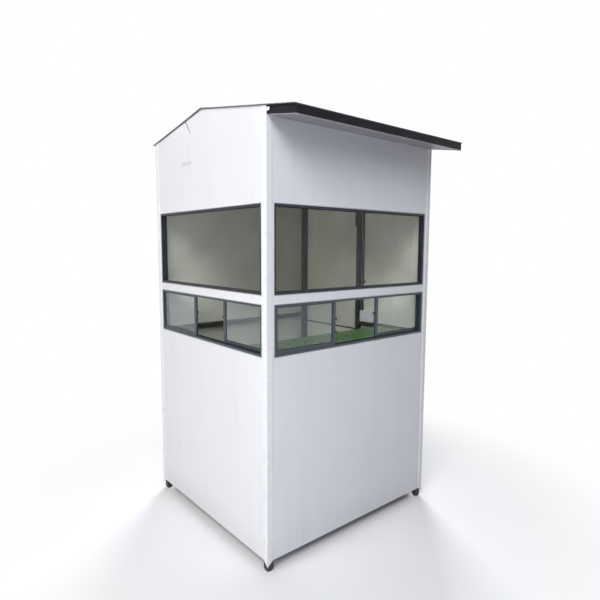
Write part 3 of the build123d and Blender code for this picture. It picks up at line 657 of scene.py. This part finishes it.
# ---- mesh work --------------------------------------------------------------------------
class Piece:
    """Gathers closed shells into one mesh, then gives it a name, a finish and a body."""

    def __init__(self):
        self.mesh = bmesh.new()

    def skin(self, rings, closed_loop=False):
        """Joins rings of points into a tube; its ends are capped unless it runs round a loop."""
        rows = [[self.mesh.verts.new(point) for point in ring] for ring in rings]
        count = len(rows[0])
        pairs = list(zip(rows, rows[1:]))
        if closed_loop:
            pairs.append((rows[-1], rows[0]))
        for one, two in pairs:
            for i in range(count):
                j = (i + 1) % count
                self.mesh.faces.new((one[i], one[j], two[j], two[i]))
        if not closed_loop:
            self.mesh.faces.new(list(reversed(rows[0])))
            self.mesh.faces.new(rows[-1])

    def lathe(self, base, axis, profile, sides=16, turn=0.0):
        """Turns a profile of (distance along the axis, radius) round the axis."""
        axis = Vector(axis).normalized()
        side = axis.orthogonal().normalized()
        other = axis.cross(side)
        rings = []
        for along, radius in profile:
            ring = []
            for i in range(sides):
                angle = turn + math.tau * i / sides
                spoke = math.cos(angle) * side + math.sin(angle) * other
                ring.append(Vector(base) + along * axis + radius * spoke)
            rings.append(ring)
        self.skin(rings)

    def sweep(self, path, section, up, closed=False):
        """Carries a closed section, in millimetres, along a path.

        The section's first coordinate points along up.
        """
        points = [Vector(p) for p in path]
        count = len(points)
        rings = []
        for i, point in enumerate(points):
            before = points[i - 1] if closed or i > 0 else point
            after = points[(i + 1) % count] if closed or i < count - 1 else point
            first = (point - before if point != before else after - point).normalized()
            second = (after - point).normalized() if after != point else first
            along = (first + second).normalized()
            side = along.cross(up).normalized()
            widen = 1 / max(0.3, along.dot(second))
            rings.append([point + a * MM * up + b * MM * widen * side for a, b in section])
        self.skin(rings, closed)

    def slab(self, low, high):
        """A square-edged block between two corners."""
        ring = ((low.x, low.y), (high.x, low.y), (high.x, high.y), (low.x, high.y))
        self.skin([[Vector((x, y, z)) for x, y in ring] for z in (low.z, high.z)])

    def done(self, name, look, body=BOOTH, bevel=0.0, angle=35):
        bmesh.ops.recalc_face_normals(self.mesh, faces=self.mesh.faces)
        data = bpy.data.meshes.new(name)
        self.mesh.to_mesh(data)
        self.mesh.free()
        piece = bpy.data.objects.new(name, data)
        bpy.context.scene.collection.objects.link(piece)
        for face in data.polygons:
            face.use_smooth = True
        if bevel:
            round_edges(piece, bevel, angle)
        else:
            data.set_sharp_from_angle(angle=math.radians(angle))
        data.materials.append(LOOKS[look].material)
        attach(piece, body)


def steps_between(start, end, pitch):
    """Evenly spaced values from start to end, about pitch apart, with both ends in."""
    count = max(1, round(abs(end - start) / pitch))
    return [start + (end - start) * i / count for i in range(count + 1)]


def pan_head(piece, spot, axis, radius, chance, washer=0.0):
    """A screw's low domed head with the hollow of its drive, on a flat washer if any."""
    base = Vector(spot)
    if washer:
        rim = ((-0.2 * MM, washer), (0.8 * MM, washer), (1.0 * MM, washer * 0.93))
        piece.lathe(base, axis, rim, 20)
        base = base + 0.9 * MM * axis
    height = radius * 0.55
    dome = (
        (-0.2 * MM, radius * 0.98), (height * 0.35, radius), (height * 0.75, radius * 0.84),
        (height, radius * 0.5), (height * 0.99, radius * 0.3), (height * 0.55, radius * 0.12),
    )
    piece.lathe(base, axis, dome, 14, chance.uniform(0, math.tau))


def hex_head(piece, spot, axis, radius, chance):
    """A flanged hexagon screw over a sealing washer."""
    flange = ((-0.2 * MM, radius * 1.5), (1.2 * MM, radius * 1.5), (1.7 * MM, radius * 1.35))
    head = ((1.2 * MM, radius), (3.6 * MM, radius), (4.2 * MM, radius * 0.86))
    piece.lathe(spot, axis, flange, 20)
    piece.lathe(spot, axis, head, 6, chance.uniform(0, math.tau))


def dome_rivet(piece, spot, axis, radius):
    """A blind rivet's low dome with the hollow of its pulled pin."""
    height = radius * 0.42
    dome = (
        (-0.15 * MM, radius), (height * 0.3, radius * 0.97), (height * 0.75, radius * 0.72),
        (height, radius * 0.42), (height * 0.96, radius * 0.3), (height * 0.5, radius * 0.24),
    )
    piece.lathe(spot, axis, dome, 14)


# ---- fasteners of the skin --------------------------------------------------------------
def near_a_hinge(z, reach):
    """Whether a height is closer than reach to the middle of a hinge."""
    return any(abs(z - level) < reach for level in HINGE_LEVELS)


def make_trim_rivets():
    """Painted blind rivets down both legs of the four corner trims."""
    piece = Piece()
    inset = 20 * MM
    radius = 3.6 * MM
    for x, x_in, x_out in ((TRIM_LOW.x, 1, -X_AXIS), (TRIM_HIGH.x, -1, X_AXIS)):
        for y, y_in, y_out in ((TRIM_LOW.y, 1, -Y_AXIS), (TRIM_HIGH.y, -1, Y_AXIS)):
            on_door_corner = x_in < 0 and y_in < 0
            for z in steps_between(0.14, 2.13, 0.285):
                if not (on_door_corner and near_a_hinge(z, 0.055)):
                    dome_rivet(piece, (x, y + y_in * inset, z), x_out, radius)
                dome_rivet(piece, (x + x_in * inset, y, z), y_out, radius)
    piece.done("trim_rivets", "trim_white")


def make_sheet_rivets():
    """Painted rivets that hold the wall sheets to the tubes behind them."""
    piece = Piece()
    end = 40 * MM                   # first and last rivet of a row, from the inner corner

    def rivets(wall, places):
        plane, out = {
            "front": (SKIN_LOW.y, -Y_AXIS), "back": (SKIN_HIGH.y, Y_AXIS),
            "left": (SKIN_LOW.x, -X_AXIS), "right": (SKIN_HIGH.x, X_AXIS),
        }[wall]
        for run, z in places:
            spot = (run, plane, z) if out.y else (plane, run, z)
            dome_rivet(piece, spot, out, 3.2 * MM)

    transom = (TRANSOM_LOW + TRANSOM_HIGH) / 2
    window_rails = (BASE_Z, SILL_Z - HALF_TUBE, transom, HEAD_Z + HALF_TUBE)
    for x in steps_between(INNER_LOW.x + end, INNER_HIGH.x - end, 0.265):
        rivets("front", [(x, z) for z in (*window_rails, EAVE_RAIL_Z)])
        rivets("back", [(x, z) for z in (BASE_Z, MID_RAIL_Z, EAVE_RAIL_Z)])
    for z in steps_between(0.26, 0.88, 0.21):
        rivets("front", [(x, z) for x in STUDS_X])
        rivets("left", [(Y_RIDGE, z)])
    for y in steps_between(INNER_LOW.y + end, INNER_HIGH.y - end, 0.25):
        under_roof = roof_height(y) - 24 * MM
        rivets("left", [(y, z) for z in (*window_rails, under_roof)])
        rivets("right", [(y, under_roof), (y, OVER_DOOR_Z)])
    for y in steps_between(INNER_LOW.y + end, DOOR_POST_LOW.y - 50 * MM, 0.2):
        rivets("right", [(y, BASE_Z), (y, MID_RAIL_Z)])
    for z in steps_between(0.24, 1.86, 0.27):
        rivets("right", [(DOOR_POST_LOW.y + 9 * MM, z)])
    piece.done("sheet_rivets", "wall_sheet")


def make_roof_screws():
    """Flanged screws over the rafters, and rivets along the wings of the ridge cap."""
    chance = random.Random(11)
    radius = 4.2 * MM
    screws = Piece()
    rafters = (POST_LOW.x + HALF_TUBE, X_MIDDLE, POST_HIGH.x - HALF_TUBE)
    rows = (-0.675, -0.44, -0.20, -0.03, 0.22, 0.43, 0.65)
    for x in rafters:
        for y in rows:
            spot_x = x + chance.uniform(-3, 3) * MM
            spot_y = y + chance.uniform(-4, 4) * MM
            spot = (spot_x, spot_y, roof_height(spot_y))
            hex_head(screws, spot, roof_normal(y), radius, chance)
    eave = -0.678
    for x in steps_between(rafters[0], rafters[2], 0.2)[1:-1]:
        hex_head(screws, (x, eave, roof_height(eave)), roof_normal(eave), radius, chance)
    screws.done("roof_screws", "zinc")

    rivets = Piece()
    cap_low, cap_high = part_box("ridge_cap")
    cap = 1.5 * MM                  # thickness of the ridge cap
    for x in steps_between(cap_low.x + 40 * MM, cap_high.x - 40 * MM, 0.23):
        for y in (cap_low.y + 14 * MM, cap_high.y - 14 * MM):
            dome_rivet(rivets, (x, y, roof_height(y) + cap), roof_normal(y), 3.4 * MM)
    rivets.done("cap_rivets", "roof_sheet")


def make_soffit_screws():
    """Pan heads along both edges of the sheet under the eave."""
    chance = random.Random(12)
    piece = Piece()
    down = Vector((0, RISE, -1)).normalized()
    for x in steps_between(SOFFIT_LOW.x + HALF_TUBE, SOFFIT_HIGH.x - HALF_TUBE, 0.24):
        for y in (SOFFIT_LOW.y + HALF_TUBE, SOFFIT_HIGH.y - 14 * MM):
            z = SOFFIT_LOW.z + (y - SOFFIT_LOW.y) * RISE
            pan_head(piece, (x, y, z), down, 3.6 * MM, chance, washer=6 * MM)
    piece.done("soffit_screws", "zinc")


# ---- beads and gaskets ------------------------------------------------------------------
# sections in millimetres: (out of the wall, across the bead)
SEAL = [(-0.9, -2.4), (-0.9, 2.4), (0.2, 2.1), (0.8, 0.9), (0.8, -0.9), (0.2, -2.1)]
GASKET = [(-0.1, -1.8), (-0.1, 1.8), (1.5, 1.6), (2.1, 0.3), (1.5, -1.6)]
BULB = [(2.1 * math.cos(a * math.tau / 10), 2.1 * math.sin(a * math.tau / 10)) for a in range(10)]


def frame_loop(out, plane, across, height):
    """Corners of a rectangle on the wall that faces out."""
    turns = ((0, 0), (1, 0), (1, 1), (0, 1))
    if out.y:
        return [(across[i], plane, height[j]) for i, j in turns]
    return [(plane, across[i], height[j]) for i, j in turns]


def on_wall(out, corner):
    """The corner's coordinate across the wall that faces out."""
    return corner.y if out.y else corner.x


LOWER_ROW, UPPER_ROW = (SILL_Z, TRANSOM_LOW), (TRANSOM_HIGH, HEAD_Z)
WINDOW_WALLS = (
    (-Y_AXIS, (INNER_LOW.x, INNER_HIGH.x)),
    (-X_AXIS, (INNER_LOW.y, INNER_HIGH.y)),
)


def make_window_sealant():
    """A smoothed bead of silicone where each window frame meets the sheets."""
    piece = Piece()
    for out, run in WINDOW_WALLS:
        for row in (LOWER_ROW, UPPER_ROW):
            piece.sweep(frame_loop(out, on_wall(out, SKIN_LOW), run, row), SEAL, out, True)
    piece.done("window_sealant", "sealant", angle=60)


def drawn_in(pair, first, last):
    """A (start, end) pair drawn in at both ends, whichever way it runs."""
    way = 1 if pair[1] > pair[0] else -1
    return pair[0] + way * first, pair[1] - way * last


def make_glazing_gaskets():
    """Black wedge gaskets round all six panes, outside and in."""
    lip = 1.7 * MM
    glass = 4 * MM
    upper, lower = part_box("upper_glass")[0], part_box("sash_glass")[0]
    front_low, front_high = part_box("front_sashes")
    left_low, left_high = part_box("left_sashes")
    loops = []
    face = FRAME_FACE + lip
    for out, run in WINDOW_WALLS:
        row = drawn_in(UPPER_ROW, face, face)
        loops.append((out, on_wall(out, upper), drawn_in(run, face, face), row))
    row = (front_low.z + SASH_FOOT + lip, front_high.z - SASH_HEAD - lip)
    stile = STILE + lip
    for out, run, bay in (
        (-Y_AXIS, (front_low.x, front_high.x), FRONT_BAY),
        (-X_AXIS, (left_high.y, left_low.y), LEFT_BAY),
    ):
        plane = on_wall(out, lower)
        loops.append((out, plane, drawn_in((run[0], bay[0]), stile, stile), row))
        loops.append((out, plane + TRACK_STEP, drawn_in((bay[1], run[1]), stile, stile), row))
    piece = Piece()
    for out, plane, run, row in loops:
        piece.sweep(frame_loop(out, plane, run, row), GASKET, out, True)
        piece.sweep(frame_loop(out, plane + glass, run, row), GASKET, -out, True)
    piece.done("glazing_gaskets", "black_rubber", angle=50)


def make_weather_bulb():
    """Hollow-section bulb along the stops, which the shut leaf would press if slammed."""
    piece = Piece()
    low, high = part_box("door_stops")
    x = high.x + 2 * MM
    half_stop = 6 * MM
    foot, head = low.z + 2 * MM, high.z - half_stop
    near, far = low.y + half_stop, high.y - half_stop
    piece.sweep([(x, near, foot), (x, near, head), (x, far, head), (x, far, foot)], BULB, X_AXIS)
    piece.done("weather_bulb", "black_rubber", angle=60)


def weld_bead(piece, start, end, chance):
    """A rippled bead between two points, half sunk in the joint."""
    radius = 1.9 * MM
    ripple = 2.2 * MM
    start, end = Vector(start), Vector(end)
    length = (end - start).length
    count = max(6, round(length / ripple))
    profile = [(0, radius * 0.3)]
    for i in range(1, count):
        swell = (1.0 if i % 2 else 0.76) * chance.uniform(0.9, 1.1)
        profile.append((length * i / count, radius * swell))
    profile.append((length, radius * 0.3))
    piece.lathe(start, end - start, profile, 8)


def make_weld_beads():
    """Beads at the ends of the rails that show inside, and where the rafters meet the ridge."""
    chance = random.Random(13)
    piece = Piece()

    def upright(x, y, z):
        weld_bead(piece, (x, y, z[0]), (x, y, z[1]), chance)

    def along_x(y, z):
        weld_bead(piece, (INNER_HIGH.x, y, z), (POST_HIGH.x, y, z), chance)

    def along_y(x, z):
        weld_bead(piece, (x, INNER_HIGH.y, z), (x, POST_HIGH.y, z), chance)

    mid_rail = (MID_RAIL_Z - 13 * MM, MID_RAIL_Z + 13 * MM)
    over_door = (OVER_DOOR_Z - HALF_TUBE, OVER_DOOR_Z + HALF_TUBE)
    eave_rail = (EAVE_RAIL_Z - HALF_TUBE, EAVE_RAIL_Z + HALF_TUBE)
    for x in (INNER_LOW.x, INNER_HIGH.x):
        upright(x, INNER_HIGH.y, mid_rail)
        for z in mid_rail:
            along_y(x, z)
    for y in (INNER_LOW.y, DOOR_POST_LOW.y):
        upright(INNER_HIGH.x, y, mid_rail)
        for z in mid_rail:
            along_x(y, z)
    for y in (INNER_LOW.y, INNER_HIGH.y):
        upright(INNER_HIGH.x, y, over_door)
    for y in (DOOR_POST_LOW.y, DOOR_POST_HIGH.y):
        along_x(y, over_door[0])
        along_x(y, FLOOR_TOP)
    ridge_low, ridge_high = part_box("ridge_beam")
    middle_rafter = (X_MIDDLE - HALF_TUBE, X_MIDDLE + HALF_TUBE)
    for x in (INNER_LOW.x, *middle_rafter, INNER_HIGH.x):
        for y in (ridge_low.y, ridge_high.y):
            upright(x, y, (ridge_low.z, ridge_high.z - 7 * MM))
    for x in (INNER_LOW.x, INNER_HIGH.x):
        for z in eave_rail:
            along_y(x, z)
        upright(x, INNER_LOW.y, eave_rail)
    piece.done("weld_beads", "frame_paint", angle=70)


# ---- inside -----------------------------------------------------------------------------
def make_counter_edge():
    """A moulded lipping along the free edge of the counter."""
    piece = Piece()
    low, high = COUNTER_LOW, COUNTER_HIGH
    half = (high.z - low.z) / 2 / MM
    section = [
        (-half, 0.2), (-half, -1.0), (-half + 1.6, -2.1), (-2, -2.4), (2, -2.4),
        (half - 1.6, -2.1), (half, -1.0), (half, 0.2),
    ]
    ends = drawn_in((low.x, high.x), 0.5 * MM, 0.5 * MM)
    piece.sweep([(x, high.y, (low.z + high.z) / 2) for x in ends], section, Z_AXIS)
    piece.done("counter_edge", "counter_edge", angle=50)


def make_switches():
    """The cover of the switch box, with two rockers thrown opposite ways and two screws."""
    middle = (SWITCH_LOW + SWITCH_HIGH) / 2
    face = SWITCH_LOW.x
    cover = Piece()
    reach = Vector((0, 52, 34)) * MM
    low = Vector((face - 2.4 * MM, middle.y, middle.z)) - reach
    high = Vector((face + 0.3 * MM, middle.y, middle.z)) + reach
    cover.slab(low, high)
    cover.done("switch_cover", "switch_white", bevel=1.0 * MM)

    rockers = Piece()
    plate = face - 2.2 * MM
    half_wide, half_high = 11 * MM, 18 * MM
    outline = (
        (0.4, -half_high), (-3.4, -half_high), (-1.6, 0), (-0.8, half_high), (0.4, half_high),
    )
    for offset, way in ((-17 * MM, 1), (17 * MM, -1)):
        centre = middle.y + offset
        rockers.skin([
            [Vector((plate + a * MM, y, middle.z + way * b)) for a, b in outline]
            for y in (centre - half_wide, centre + half_wide)
        ])
    rockers.done("switch_rockers", "switch_white", bevel=0.7 * MM)

    chance = random.Random(14)
    screws = Piece()
    for y in (middle.y - 43 * MM, middle.y + 43 * MM):
        pan_head(screws, (plate, y, middle.z), -X_AXIS, 2.8 * MM, chance)
    screws.done("switch_screws", "zinc")


def make_fitting_screws():
    """Screws of the saddles, the bolt's keeper, and the counter's brackets."""
    chance = random.Random(15)
    piece = Piece()
    low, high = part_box("conduit")
    for z in (1.365, 1.845):        # middles of the two saddles
        for y in (low.y + 5 * MM, high.y - 5 * MM):
            pan_head(piece, (high.x - 2 * MM, y, z), -X_AXIS, 2.6 * MM, chance)
    low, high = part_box("bolt_keeper")
    for z in (low.z + 18 * MM, low.z + 84 * MM):
        pan_head(piece, (low.x, (low.y + high.y) / 2, z), -X_AXIS, 3.0 * MM, chance)
    low, high = BRACKETS_LOW, BRACKETS_HIGH
    plate = 4 * MM
    for stud in STUDS_X:
        for x in (stud - 11 * MM, stud + 11 * MM):
            under = [((x, y, high.z - plate), -Z_AXIS) for y in (low.y + 0.05, low.y + 0.19)]
            behind = [((x, low.y + plate, z), Y_AXIS) for z in (low.z + 0.03, low.z + 0.16)]
            for spot, out in under + behind:
                pan_head(piece, spot, out, 2.8 * MM, chance, washer=4.5 * MM)
    piece.done("fitting_screws", "zinc")


# ---- door -------------------------------------------------------------------------------
def make_hinge_screws():
    """Three screws in each leaf of each hinge, the middle one set back from the others."""
    chance = random.Random(16)
    half_plate = 12 * MM
    for name, body, y in (
        ("post_hinge_screws", BOOTH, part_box("post_hinge_leaves")[1].y - half_plate),
        ("leaf_hinge_screws", DOOR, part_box("door_hinge_leaves")[0].y + half_plate),
    ):
        piece = Piece()
        for level in HINGE_LEVELS:
            for n in (-1, 0, 1):
                stagger = 3 * MM if n else -3 * MM
                spot = (LEAF_HIGH.x + 2.5 * MM, y + stagger, level + n * 26 * MM)
                pan_head(piece, spot, X_AXIS, 3.1 * MM, chance)
        piece.done(name, "zinc", body)


def make_door_rivets():
    """Rivets through the outer skin of the leaf into its tube core."""
    piece = Piece()
    edge = 17 * MM
    radius = 3.2 * MM
    near, far = LEAF_LOW.y + edge, LEAF_HIGH.y - edge
    foot, head = LEAF_LOW.z + edge, LEAF_HIGH.z - edge
    for y in (near, far):
        for z in steps_between(foot, head, 0.23):
            if y == near or not near_a_hinge(z, 0.05):
                dome_rivet(piece, (LEAF_HIGH.x, y, z), X_AXIS, radius)
    for z in (foot, 1.022, head):   # the three rails of the core
        for y in steps_between(near, far, 0.16)[1:-1]:
            dome_rivet(piece, (LEAF_HIGH.x, y, z), X_AXIS, radius)
    piece.done("door_rivets", "door_skin", DOOR)


def make_bolt_screws():
    """Four screws at the corners of the slide bolt's base plate."""
    chance = random.Random(17)
    piece = Piece()
    low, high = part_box("door_bolt")
    for y in (low.y + 5 * MM, high.y - 5 * MM):
        for z in (low.z + 6 * MM, high.z - 6 * MM):
            pan_head(piece, (INNER_HIGH.x - 3 * MM, y, z), -X_AXIS, 2.6 * MM, chance)
    piece.done("bolt_screws", "zinc", DOOR)


# ---- studio -----------------------------------------------------------------------------
FLOOR_BOUNCE = 0.28     # how much of its brightness the floor has for light that it sends on
DOME = 0.02             # strength of the soft light from all round
WARM = (1.0, 0.985, 0.965)
COOL = (0.86, 0.90, 1.0)
BODY = (0.0, 0.1, 1.3)
FRONT = (-0.1, -0.4, 1.0)


def shown_ray(nodes):
    """1 for rays from the camera, and for those that metal and glass send on."""
    path = nodes.node("LightPath").outputs
    first = nodes.math("MAXIMUM", path["Is Camera Ray"], path["Is Glossy Ray"])
    return nodes.math("MAXIMUM", first, path["Is Transmission Ray"])


def make_world():
    """White where it is seen or mirrored, a soft dim dome as light."""
    world = bpy.data.worlds.new("studio")
    bpy.context.scene.world = world
    nodes = Nodes(world)
    nodes.tree.nodes.clear()
    seen = nodes.node("Background", (1, 1, 1), 1.0).outputs[0]
    dome = nodes.node("Background", (0.93, 0.95, 1.0), DOME).outputs[0]
    mixed = nodes.node("MixShader", shown_ray(nodes), dome, seen).outputs[0]
    nodes.node("OutputWorld", mixed)


def make_floor():
    """Pale floor that holds the shadow near the booth and runs out to the white backdrop."""
    work = bmesh.new()
    bmesh.ops.create_grid(work, x_segments=24, y_segments=24, size=30)
    data = bpy.data.meshes.new("floor")
    work.to_mesh(data)
    work.free()
    floor = bpy.data.objects.new("floor", data)
    bpy.context.scene.collection.objects.link(floor)
    material = bpy.data.materials.new("studio_floor")
    nodes = Nodes(material)
    nodes.tree.nodes.clear()
    place = nodes.node("TexCoord").outputs["Object"]
    reach = nodes.node("VectorMath", place, operation="LENGTH").outputs["Value"]
    away = nodes.step(reach, 0.95, 2.2)
    seen = shown_ray(nodes)
    cloudy = nodes.node("TexNoise", place, None, 2.0).outputs["Fac"]
    pale = nodes.node("MapRange", cloudy, 0.3, 0.7, 0.95, 0.97).outputs[0]
    level = nodes.node("MapRange", seen, 0.0, 1.0, FLOOR_BOUNCE, 1.0).outputs[0]
    tone = nodes.math("MULTIPLY", pale, level)
    near = nodes.node("BsdfPrincipled", nodes.node("CombineColor", tone, tone, tone).outputs[0])
    near.inputs["Roughness"].default_value = 0.7
    near.inputs["Specular IOR Level"].default_value = 0.1
    far = nodes.node("Emission", (1, 1, 1), 1.0).outputs[0]
    shown = nodes.math("MULTIPLY", away, seen)
    mixed = nodes.node("MixShader", shown, near.outputs[0], far).outputs[0]
    nodes.node("OutputMaterial", mixed)
    data.materials.append(material)


def lamp(name, place, size, power, colour, aim):
    """A soft square lamp that faces the booth."""
    data = bpy.data.lights.new(name, "AREA")
    data.size = size
    data.energy = power
    data.color = colour
    made = bpy.data.objects.new(name, data)
    made.location = place
    made.visible_camera = False
    made.rotation_euler = (Vector(aim) - Vector(place)).to_track_quat("-Z", "Y").to_euler()
    bpy.context.scene.collection.objects.link(made)


bpy.context.scene.view_settings.view_transform = "Standard"
make_camera()
make_world()
make_floor()
lamp("big_left", (-6.0, -0.8, 4.4), 5.0, 150, WARM, (0.0, 0.2, 1.0))
lamp("low_left", (-5.2, -1.0, 0.7), 2.0, 55, WARM, (0.0, 0.1, 0.5))
lamp("sky_left", (-6.0, -4.0, 7.0), 4.0, 305, (1.0, 0.99, 0.98), BODY)
lamp("high_front", (-2.2, -3.4, 4.2), 2.5, 54, COOL, FRONT)
lamp("mid_front", (-2.8, -3.8, 3.2), 2.5, 28, COOL, FRONT)
lamp("low_corner", (-1.7, -2.3, 0.4), 0.8, 13.5, COOL, (-0.3, -0.3, 0.5))
lamp("back_fill", (4.5, 5.0, 4.0), 3.0, 470, (0.97, 0.98, 1.0), BODY)
dress_nodes()
make_trim_rivets()
make_sheet_rivets()
make_roof_screws()
make_soffit_screws()
make_window_sealant()
make_glazing_gaskets()
make_weather_bulb()
make_weld_beads()
make_counter_edge()
make_switches()
make_fitting_screws()
make_hinge_screws()
make_door_rivets()
make_bolt_screws()
